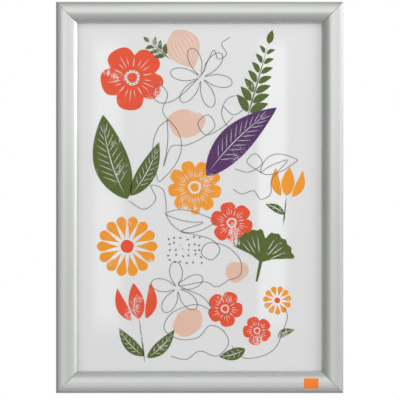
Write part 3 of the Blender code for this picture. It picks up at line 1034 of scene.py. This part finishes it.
def fill(shape, outlines, layer):
    """Add filled outlines with their holes, as thin plates on the paper."""
    curve = bpy.data.curves.new("outlines", "CURVE")
    curve.dimensions = "2D"
    curve.fill_mode = "BOTH"
    curve.extrude = INK_THICKNESS / 2
    for outline in outlines:
        spline = curve.splines.new("POLY")
        spline.points.add(len(outline) - 1)
        for point, (x, z) in zip(spline.points, outline):
            point.co = (x, z, 0, 1)
        spline.use_cyclic_u = True
    holder = new_object("outlines", curve)
    filled = final_mesh(holder)
    part = bmesh.new()
    part.from_mesh(filled)
    bmesh.ops.remove_doubles(part, verts=part.verts, dist=WELD)
    middle = ink_back(layer) + INK_THICKNESS / 2
    for vertex in part.verts:
        x, z, rise = vertex.co
        vertex.co = CENTRE + Vector((x, -(middle + rise), z)) * MM
    bmesh.ops.recalc_face_normals(part, faces=part.faces)
    part.to_mesh(filled)
    part.free()
    shape.from_mesh(filled)
    bpy.data.objects.remove(holder)
    bpy.data.curves.remove(curve)
    bpy.data.meshes.remove(filled)


def build_print():
    for name, motifs in print_motifs().items():
        shape = bmesh.new()
        colour, layer, wear = INKS[name]
        for outlines, place, angle in motifs:
            fill(shape, [turned(points, place, angle) for points in outlines], layer)
        finish_mesh("print_" + name, shape, "frame", ink("ink_" + name, colour, wear))


def ribbon(shape, stroke, width, back):
    """Add a drawn line: a flat strip of one width along a smooth stroke."""
    points = [Vector(point) for point in stroke]
    rings = []
    for index, here in enumerate(points):
        way = points[min(index + 1, len(points) - 1)] - points[max(index - 1, 0)]
        side = Vector((-way.y, way.x)).normalized() * width / 2
        ring = []
        for point, depth in ((here - side, 0), (here + side, 0), (here + side, 1), (here - side, 1)):
            spot = Vector((point.x, -(back + depth * INK_THICKNESS), point.y)) * MM
            ring.append(shape.verts.new(CENTRE + spot))
        rings.append(ring)
    for one, two in zip(rings, rings[1:]):
        for index in range(4):
            after = (index + 1) % 4
            shape.faces.new((one[index], one[after], two[after], two[index]))
    shape.faces.new(rings[0])
    shape.faces.new(reversed(rings[-1]))


def rose(centre, radius, petals, start):
    """Points of a flower drawn in one line, petal after petal, from a start angle in degrees."""
    points = []
    steps = 8
    inner = 0.12
    for index in range(petals * steps + 1):
        angle = math.radians(start) + 2 * math.pi * index / (petals * steps)
        swell = abs(math.sin(petals * (angle - math.radians(start)) / 2))
        points.append(polar(radius * (inner + (1 - inner) * swell), angle, centre))
    return points


def leaf_line(place, length, width, angle, bend=4):
    """Points of a leaf drawn in one line, round its edge and up its middle."""
    points = leaf(length, width, bend, 9) + [(0, 0)]
    points += [leaf_side(length, width, share, bend)[:2] for share in (0.25, 0.5, 0.75)]
    return turned(points, place, angle)


def build_drawing():
    """The thin lines of the print, each one stroke through flowers and leaves."""
    top = [(36, 190), (26, 182), (32, 170), (22, 164), (16, 174)] + rose((2, 142), 37, 6, 80)
    top += [(-26, 118), (-46, 112), (-56, 122), (-48, 134), (-38, 122), (-44, 104), (-38, 92)]
    top += leaf_line((-38, 92), 74, 34, -98) + [(-34, 60), (-16, 62), (2, 70), (18, 84), (10, 98), (-2, 88)]
    top += [(8, 74), (28, 84), (40, 96)]
    middle = [(-84, -4), (-66, -14), (-52, -2), (-58, 14), (-44, 10), (-40, -6), (-40, -20)]
    middle += leaf_line((-40, -20), 60, 26, -8, -5) + [(-22, -40), (-6, -44), (14, -50), (24, -62), (14, -74)]
    middle += [(2, -66), (10, -54), (32, -58), (48, -74), (48, -92), (34, -98)]
    lower = [(34, -98), (20, -106), (6, -100)] + rose((-26, -108), 32, 5, 60)
    lower += [(4, -118), (14, -134), (2, -128), (-12, -128), (-34, -138), (-42, -156), (-24, -168)]
    lower += [(-2, -166), (12, -152), (28, -158), (34, -174), (20, -188), (0, -182), (-16, -192), (-34, -188)]
    right = [(28, 108), (40, 98), (52, 106), (46, 120), (32, 116), (26, 100), (34, 84), (50, 78)]
    below = [(42, 34), (58, 30), (74, 40), (66, 52), (56, 42), (72, 30)] + leaf_line((72, 30), 46, 22, 18)
    below += [(86, 22), (84, 4), (72, -2), (64, 8), (50, 4), (40, 10)]
    tail = [(38, -176), (52, -190), (74, -188), (90, -178), (98, -160), (104, -142), (100, -130)]
    shape = bmesh.new()
    for points in (top, middle, lower, right, below, tail):
        ribbon(shape, smooth(points, LINE_STEPS), LINE_WIDTH, ink_back(LINE_LAYER))
    finish_mesh("print_line", shape, "frame", ink("ink_line", LINE_COLOUR, LINE_WEAR))


# Studio

# Brightness of the room by direction: from far left to far right, and from straight down to straight up
ACROSS = ((0.0, 0.35), (0.05, 0.42), (0.12, 0.46), (0.22, 0.67), (0.30, 0.84), (0.38, 0.92), (0.46, 0.93),
          (0.56, 0.83), (0.72, 0.80), (0.82, 0.80), (0.91, 0.87), (0.97, 0.9), (1.0, 1.25))
HEIGHT = ((0.0, 0.43), (0.03, 0.50), (0.1, 0.58), (0.25, 0.70), (0.35, 0.91), (0.43, 1.04), (0.5, 1.01),
          (0.6, 0.87), (0.68, 0.79), (0.75, 0.75), (0.82, 0.77), (0.91, 0.77), (0.97, 0.72), (1.0, 0.64))

# How much more the room lights than it is mirrored
LIT_LEVEL = 1.08

# How far a direction leans away from the camera's side before it mirrors the white background
WHITE_START = 0.3
WHITE_FULL = 0.8

# Each lamp: direction from the frame's middle, distance, width and height, power, and if it is only mirrored
LAMPS = {
    "right": ((0.93, -0.36, 0.10), 2.5, (0.8, 1.0), 28, False),
    "top": ((0.05, -0.46, 0.89), 1.5, (1.2, 0.5), 5.5, False),
    "left": ((-0.90, -0.44, 0.10), 2.5, (0.8, 1.0), 12, False),
    "box": ((0.40, -1.05, 0.48), 1.24, (2.5, 1.0), 3.0, True),
    "side": ((1.0, -0.15, 0.46), 1.1, (0.5, 0.7), 1.7, True),
    "rim": ((0.376, -0.126, 0.10), 0.41, (0.06, 0.7), 0.14, True),
    "brow": ((0.12, -0.15, 0.43), 0.47, (0.5, 0.06), 0.025, True),
}

# Floor
FLOOR_DROP = 1.7
FLOOR_RADIUS = 0.42
FLOOR_FADE = 0.15
FLOOR_SEGMENTS = 96

# Camera, square to the frame and slightly off its middle
CAMERA_DISTANCE = 3.0
CAMERA_ASIDE = 0.00036
CAMERA_LOWER = 0.00302
FIELD_WIDTH = 0.4736
SENSOR_WIDTH = 36
CLIP_NEAR = 0.1
CLIP_FAR = 50


def ramp(room, source, stops):
    """A brightness for a value from 0 to 1, straight between its stops."""
    made = room.node("ShaderNodeValToRGB", {0: source})
    elements = made.color_ramp.elements
    while len(elements) < len(stops):
        elements.new(0.5)
    for element, (place, level) in zip(elements, stops):
        element.position = place
        element.color = (level, level, level, 1)
    return made.outputs[0]


def world():
    """A soft room for light and reflections, and plain white for the camera."""
    made = bpy.data.worlds.new("studio")
    bpy.context.scene.world = made
    made.use_nodes = True
    made.node_tree.nodes.clear()
    room = Nodes(made.node_tree)
    direction = room.node("ShaderNodeTexCoord").outputs["Generated"]
    parts = room.node("ShaderNodeSeparateXYZ", {0: direction}).outputs
    across = ramp(room, room.maths("MULTIPLY_ADD", parts["X"], 0.5, 0.5), ACROSS)
    height = ramp(room, room.maths("MULTIPLY_ADD", parts["Z"], 0.5, 0.5), HEIGHT)
    studio = room.mix(1.0, across, height, blend_type="MULTIPLY")
    behind = room.node("ShaderNodeMapRange", {0: parts["Y"], 1: WHITE_START, 2: WHITE_FULL}).outputs[0]
    seen = room.mix(behind, studio, (1, 1, 1))

    path = room.node("ShaderNodeLightPath").outputs
    reflected = room.maths("MAXIMUM", path["Is Glossy Ray"], path["Is Transmission Ray"])
    lit = room.node("ShaderNodeBackground", {0: studio, 1: LIT_LEVEL}).outputs[0]
    mirrored = room.node("ShaderNodeBackground", {0: seen}).outputs[0]
    white = room.node("ShaderNodeBackground", {0: (1, 1, 1, 1)}).outputs[0]
    first = room.node("ShaderNodeMixShader", {0: reflected, 1: lit, 2: mirrored}).outputs[0]
    second = room.node("ShaderNodeMixShader", {0: path["Is Camera Ray"], 1: first, 2: white}).outputs[0]
    room.node("ShaderNodeOutputWorld", {0: second})


def lamp(name, direction, distance, size, power, mirrored):
    """A soft lamp that looks at the middle of the frame. It either lights surfaces or is mirrored in them."""
    light = bpy.data.lights.new(name, "AREA")
    light.shape = "RECTANGLE"
    light.size, light.size_y = size
    light.energy = power
    made = new_object(name, light)
    made.location = CENTRE + Vector(direction).normalized() * distance
    made.rotation_euler = Vector(direction).to_track_quat("Z", "Y").to_euler()
    made.visible_camera = False
    made.visible_glossy = mirrored
    made.visible_diffuse = not mirrored


def floor():
    """A pale floor below the hanging frame. It keeps the shadow and fades out into the white."""
    shape = bmesh.new()
    bmesh.ops.create_circle(shape, cap_ends=True, segments=FLOOR_SEGMENTS, radius=FLOOR_RADIUS)
    mesh = bpy.data.meshes.new("floor")
    shape.to_mesh(mesh)
    shape.free()
    made = new_object("floor", mesh)
    made.location = (0, 0, CENTRE.z - FRAME_HEIGHT / 2 - FLOOR_DROP)
    look = Look("pale_floor", (0.88, 0.88, 0.88), 0.0, 0.7)
    away = look.node("ShaderNodeVectorMath", {0: look.place()}, operation="LENGTH").outputs["Value"]
    solid = look.node("ShaderNodeMapRange", {0: away, 1: FLOOR_RADIUS, 2: FLOOR_FADE},
                      interpolation_type="SMOOTHERSTEP").outputs[0]
    look.finish_with(solid, look.node("ShaderNodeBsdfTransparent").outputs[0])
    mesh.materials.append(look.material)


def camera():
    data = bpy.data.cameras.new("camera")
    made = new_object("camera", data)
    data.sensor_width = SENSOR_WIDTH
    data.lens = SENSOR_WIDTH * CAMERA_DISTANCE / FIELD_WIDTH
    made.location = (CAMERA_ASIDE, -HINGE_HEIGHT - CAMERA_DISTANCE, CENTRE.z - CAMERA_LOWER)
    made.rotation_euler = (math.pi / 2, 0, 0)
    data.clip_start = CLIP_NEAR
    data.clip_end = CLIP_FAR
    bpy.context.scene.camera = made


def main():
    cover_metal = extruded_metal("satin_anodised_aluminium", *COVER_FINISH)
    rail_metal = extruded_metal("anodised_rail_aluminium", *RAIL_FINISH)
    steel = spring_steel()
    for name in SIDES:
        build_cover(name, cover_metal)
        build_rail(name, rail_metal)
        for number in (1, 2):
            build_spring(name, number, steel)
    key_metal = zinc_plate()
    for name in ("top_left", "top_right", "bottom_left", "bottom_right"):
        dress(frame["nodes"]["corner_key_" + name], key_metal)
    build_sheets()
    build_print()
    build_drawing()
    build_plate(orange_plate())
    world()
    floor()
    for name, values in LAMPS.items():
        lamp(name, *values)
    camera()
    bpy.context.scene.view_settings.view_transform = "Standard"


main()
